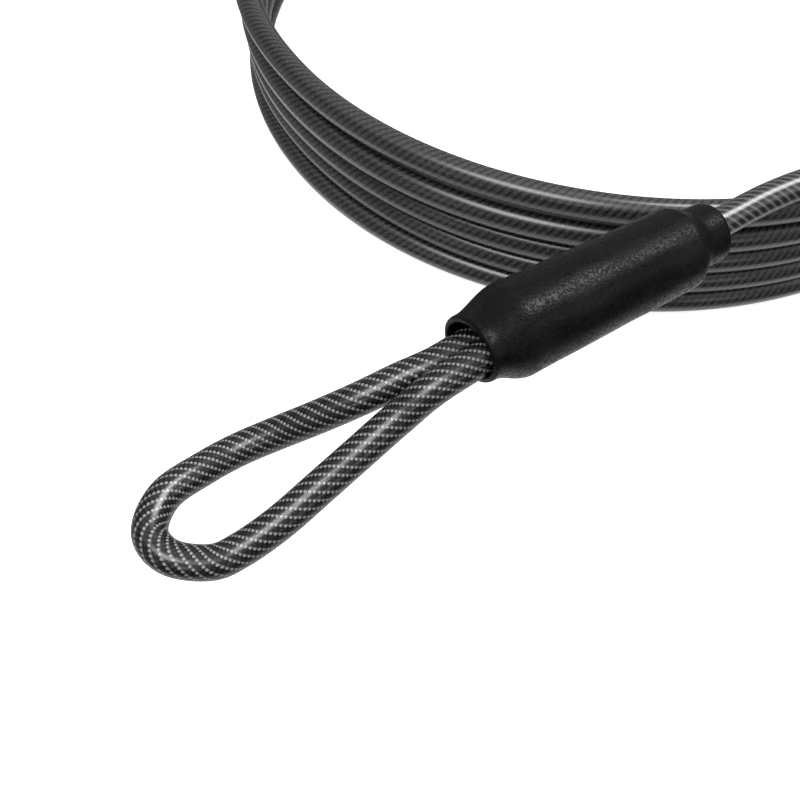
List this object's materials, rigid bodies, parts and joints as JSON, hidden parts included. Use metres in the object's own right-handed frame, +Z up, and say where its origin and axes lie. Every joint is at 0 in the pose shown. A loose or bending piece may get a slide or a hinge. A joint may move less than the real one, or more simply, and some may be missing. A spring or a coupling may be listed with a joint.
{
  "type": "double-loop security cable",
  "caption": "Coiled security cable of jacketed wire rope, with a swaged and sleeved eye at each end for a padlock or shackle to pass through.",
  "frame": {"origin": "centre of the footprint, on the surface the coil rests on", "axes": "+Z up along the coil's axis, +X right and +Y away as seen from the front, where the nearer eye lies"},
  "size_m": [0.3384, 0.4546, 0.0764],
  "materials": {
    "cable_jacket": "clear smoke jacket over a black and silver weave, glossy",
    "clear_jacket": "clear smoke plastic, glossy",
    "woven_layer": "black weave with silver dots in slanting rows",
    "rope_steel": "twisted wire strands",
    "ferrule_metal": "swaged, plain",
    "sleeve_rubber": "black, shrunk on, satin with a fine grain"
  },
  "bodies": {
    "root": {"front_sleeve": "sleeve_rubber", "front_ferrule": "ferrule_metal", "front_eye_jacket": "clear_jacket", "front_eye_weave": "woven_layer", "front_eye_rope": "rope_steel", "rear_sleeve": "sleeve_rubber", "rear_ferrule": "ferrule_metal", "rear_eye_jacket": "clear_jacket", "rear_eye_weave": "woven_layer", "rear_eye_rope": "rope_steel", "cable_lead_front": "cable_jacket", "cable_lead_rear": "cable_jacket", "cable_coil": "cable_jacket"}
  },
  "joints": []
}
